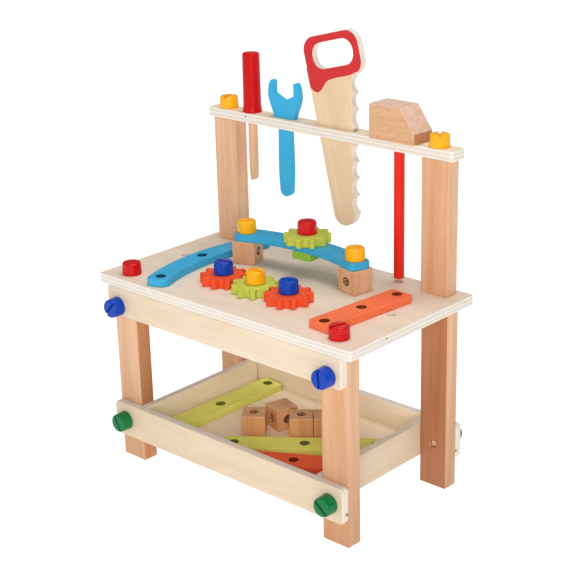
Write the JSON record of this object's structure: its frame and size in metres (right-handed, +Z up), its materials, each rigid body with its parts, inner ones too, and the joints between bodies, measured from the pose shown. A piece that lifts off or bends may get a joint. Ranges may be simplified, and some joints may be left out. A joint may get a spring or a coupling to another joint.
{
  "type": "toy tool bench",
  "caption": "Wooden toy workbench with a tool shelf, a tray, big slotted bolts, meshing gears, strips, cubes and hanging tools.",
  "frame": {"origin": "on the floor, under the middle of the worktop", "axes": "+Z up, +X to the bench's right seen from the front, +Y from the open front to the tool shelf"},
  "size_m": [0.35, 0.2193, 0.4669],
  "materials": {
    "birch_ply": "satin lacquer over pale birch plywood, layered edges",
    "beech": "satin lacquer over beech with short flecks",
    "sky_blue_paint": "satin paint with faint grain",
    "orange_paint": "satin paint with faint grain",
    "lime_paint": "satin paint with faint grain",
    "green_paint": "satin paint",
    "red_paint": "semi-gloss paint",
    "royal_blue_paint": "semi-gloss paint",
    "yellow_paint": "semi-gloss paint",
    "dark_green_paint": "semi-gloss paint"
  },
  "bodies": {
    "frame": {"worktop": "birch_ply", "front_apron": "birch_ply", "tray_front_board": "birch_ply", "tray_back_board": "birch_ply", "tray_bottom": "birch_ply", "tray_pins": "beech", "upright_dowels": "beech", "tool_shelf": "birch_ply", "tray_left_board": "birch_ply", "tray_right_board": "birch_ply", "front_left_leg": "beech", "front_right_leg": "beech", "rear_left_leg": "beech", "rear_right_leg": "beech", "left_upright": "beech", "right_upright": "beech"},
    "apron_left_bolt": {"apron_left_bolt": "royal_blue_paint"},
    "tray_front_left_bolt": {"tray_front_left_bolt": "dark_green_paint"},
    "tray_back_left_bolt": {"tray_back_left_bolt": "dark_green_paint"},
    "worktop_left_bolt": {"worktop_left_bolt": "red_paint"},
    "shelf_left_bolt": {"shelf_left_bolt": "yellow_paint"},
    "apron_right_bolt": {"apron_right_bolt": "royal_blue_paint"},
    "tray_front_right_bolt": {"tray_front_right_bolt": "dark_green_paint"},
    "tray_back_right_bolt": {"tray_back_right_bolt": "dark_green_paint"},
    "worktop_right_bolt": {"worktop_right_bolt": "red_paint"},
    "shelf_right_bolt": {"shelf_right_bolt": "yellow_paint"},
    "row_gear_1": {"row_gear_1": "orange_paint"},
    "row_gear_2": {"row_gear_2": "lime_paint"},
    "row_gear_3": {"row_gear_3": "orange_paint"},
    "row_gear_bolt_1": {"row_gear_bolt_1": "royal_blue_paint"},
    "row_gear_bolt_2": {"row_gear_bolt_2": "yellow_paint"},
    "row_gear_bolt_3": {"row_gear_bolt_3": "royal_blue_paint"},
    "bridge": {"bridge_strip": "sky_blue_paint", "bridge_left_block": "beech", "bridge_right_block": "beech", "bridge_nut": "green_paint"},
    "bridge_left_bolt": {"bridge_left_bolt": "yellow_paint"},
    "bridge_right_bolt": {"bridge_right_bolt": "yellow_paint"},
    "bridge_gear": {"bridge_gear": "lime_paint"},
    "bridge_gear_bolt": {"bridge_gear_bolt": "red_paint"},
    "blue_strip": {"blue_strip": "sky_blue_paint"},
    "orange_strip": {"orange_strip": "orange_paint"},
    "green_strip_1": {"green_strip_1": "lime_paint"},
    "green_strip_2": {"green_strip_2": "lime_paint"},
    "short_orange_strip": {"short_orange_strip": "orange_paint"},
    "cube_1": {"cube_1": "beech"},
    "cube_2": {"cube_2": "beech"},
    "cube_3": {"cube_3": "beech"},
    "cube_4": {"cube_4": "beech"},
    "screwdriver": {"screwdriver_handle": "red_paint", "screwdriver_shaft": "beech"},
    "wrench": {"wrench": "sky_blue_paint"},
    "saw": {"saw": "birch_ply"},
    "hammer": {"hammer_head": "beech", "hammer_rod": "red_paint"}
  },
  "joints": [
    {"name": "apron_left_bolt_turn", "type": "hinge", "parent": "frame", "child": "apron_left_bolt", "pos_m": [-0.1465, -0.0983, 0.1815], "axis": [0, -1, 0], "continuous": true},
    {"name": "tray_front_left_bolt_turn", "type": "hinge", "parent": "frame", "child": "tray_front_left_bolt", "pos_m": [-0.1465, -0.0983, 0.048], "axis": [0, -1, 0], "continuous": true},
    {"name": "tray_back_left_bolt_turn", "type": "hinge", "parent": "frame", "child": "tray_back_left_bolt", "pos_m": [-0.1465, 0.094, 0.048], "axis": [0, 1, 0], "continuous": true},
    {"name": "worktop_left_bolt_turn", "type": "hinge", "parent": "frame", "child": "worktop_left_bolt", "pos_m": [-0.1445, -0.0783, 0.213], "axis": [0, 0, 1], "continuous": true},
    {"name": "shelf_left_bolt_turn", "type": "hinge", "parent": "frame", "child": "shelf_left_bolt", "pos_m": [-0.14575, 0.07875, 0.364], "axis": [0, 0, 1], "continuous": true},
    {"name": "apron_right_bolt_turn", "type": "hinge", "parent": "frame", "child": "apron_right_bolt", "pos_m": [0.1465, -0.0983, 0.1815], "axis": [0, -1, 0], "continuous": true},
    {"name": "tray_front_right_bolt_turn", "type": "hinge", "parent": "frame", "child": "tray_front_right_bolt", "pos_m": [0.1465, -0.0983, 0.048], "axis": [0, -1, 0], "continuous": true},
    {"name": "tray_back_right_bolt_turn", "type": "hinge", "parent": "frame", "child": "tray_back_right_bolt", "pos_m": [0.1465, 0.094, 0.048], "axis": [0, 1, 0], "continuous": true},
    {"name": "worktop_right_bolt_turn", "type": "hinge", "parent": "frame", "child": "worktop_right_bolt", "pos_m": [0.1445, -0.0783, 0.213], "axis": [0, 0, 1], "continuous": true},
    {"name": "shelf_right_bolt_turn", "type": "hinge", "parent": "frame", "child": "shelf_right_bolt", "pos_m": [0.14175, 0.07875, 0.364], "axis": [0, 0, 1], "continuous": true},
    {"name": "row_gear_1_turn", "type": "hinge", "parent": "frame", "child": "row_gear_1", "pos_m": [-0.0482, -0.0365, 0.2132], "axis": [0, 0, 1], "continuous": true},
    {"name": "row_gear_2_turn", "type": "hinge", "parent": "frame", "child": "row_gear_2", "pos_m": [-0.0026, -0.0365, 0.2132], "axis": [0, 0, 1], "continuous": true},
    {"name": "row_gear_3_turn", "type": "hinge", "parent": "frame", "child": "row_gear_3", "pos_m": [0.043, -0.0365, 0.2132], "axis": [0, 0, 1], "continuous": true},
    {"name": "row_gear_bolt_1_turn", "type": "hinge", "parent": "frame", "child": "row_gear_bolt_1", "pos_m": [-0.0482, -0.0365, 0.2233], "axis": [0, 0, 1], "continuous": true},
    {"name": "row_gear_bolt_2_turn", "type": "hinge", "parent": "frame", "child": "row_gear_bolt_2", "pos_m": [-0.0026, -0.0365, 0.2233], "axis": [0, 0, 1], "continuous": true},
    {"name": "row_gear_bolt_3_turn", "type": "hinge", "parent": "frame", "child": "row_gear_bolt_3", "pos_m": [0.043, -0.0365, 0.2233], "axis": [0, 0, 1], "continuous": true},
    {"name": "bridge_lift", "type": "slide", "parent": "frame", "child": "bridge", "axis": [0, 0, 1], "range_m": [0, 0.06]},
    {"name": "bridge_left_bolt_turn", "type": "hinge", "parent": "bridge", "child": "bridge_left_bolt", "pos_m": [-0.0755, 0.0281, 0.2465], "axis": [0, 0, 1], "continuous": true},
    {"name": "bridge_right_bolt_turn", "type": "hinge", "parent": "bridge", "child": "bridge_right_bolt", "pos_m": [0.07449, 0.02941, 0.2465], "axis": [0, 0, 1], "continuous": true},
    {"name": "bridge_gear_turn", "type": "hinge", "parent": "bridge", "child": "bridge_gear", "pos_m": [-0.00061, 0.04155, 0.2467], "axis": [0, 0, 1], "continuous": true},
    {"name": "bridge_gear_bolt_turn", "type": "hinge", "parent": "bridge", "child": "bridge_gear_bolt", "pos_m": [-0.00061, 0.04155, 0.2568], "axis": [0, 0, 1], "continuous": true},
    {"name": "blue_strip_lift", "type": "slide", "parent": "frame", "child": "blue_strip", "axis": [0, 0, 1], "range_m": [0, 0.06]},
    {"name": "orange_strip_lift", "type": "slide", "parent": "frame", "child": "orange_strip", "axis": [0, 0, 1], "range_m": [0, 0.06]},
    {"name": "green_strip_1_lift", "type": "slide", "parent": "frame", "child": "green_strip_1", "axis": [0, 0, 1], "range_m": [0, 0.06]},
    {"name": "green_strip_2_lift", "type": "slide", "parent": "frame", "child": "green_strip_2", "axis": [0, 0, 1], "range_m": [0, 0.06]},
    {"name": "short_orange_strip_lift", "type": "slide", "parent": "frame", "child": "short_orange_strip", "axis": [0, 0, 1], "range_m": [0, 0.06]},
    {"name": "cube_1_lift", "type": "slide", "parent": "frame", "child": "cube_1", "axis": [0, 0, 1], "range_m": [0, 0.06]},
    {"name": "cube_2_lift", "type": "slide", "parent": "frame", "child": "cube_2", "axis": [0, 0, 1], "range_m": [0, 0.06]},
    {"name": "cube_3_lift", "type": "slide", "parent": "frame", "child": "cube_3", "axis": [0, 0, 1], "range_m": [0, 0.06]},
    {"name": "cube_4_lift", "type": "slide", "parent": "frame", "child": "cube_4", "axis": [0, 0, 1], "range_m": [0, 0.06]},
    {"name": "screwdriver_lift", "type": "slide", "parent": "frame", "child": "screwdriver", "axis": [0, 0, 1], "range_m": [0, 0.08]},
    {"name": "wrench_lift", "type": "slide", "parent": "frame", "child": "wrench", "axis": [0, 0, 1], "range_m": [0, 0.06]},
    {"name": "saw_lift", "type": "slide", "parent": "frame", "child": "saw", "axis": [-0.2205, 0, 0.9754], "range_m": [0, 0.11]},
    {"name": "hammer_lift", "type": "slide", "parent": "frame", "child": "hammer", "axis": [0, 0, 1], "range_m": [0, 0.15]}
  ],
  "couplings": [
    {"joint": "row_gear_2_turn", "follows": "row_gear_1_turn", "ratio": -1},
    {"joint": "row_gear_3_turn", "follows": "row_gear_1_turn", "ratio": 1}
  ]
}
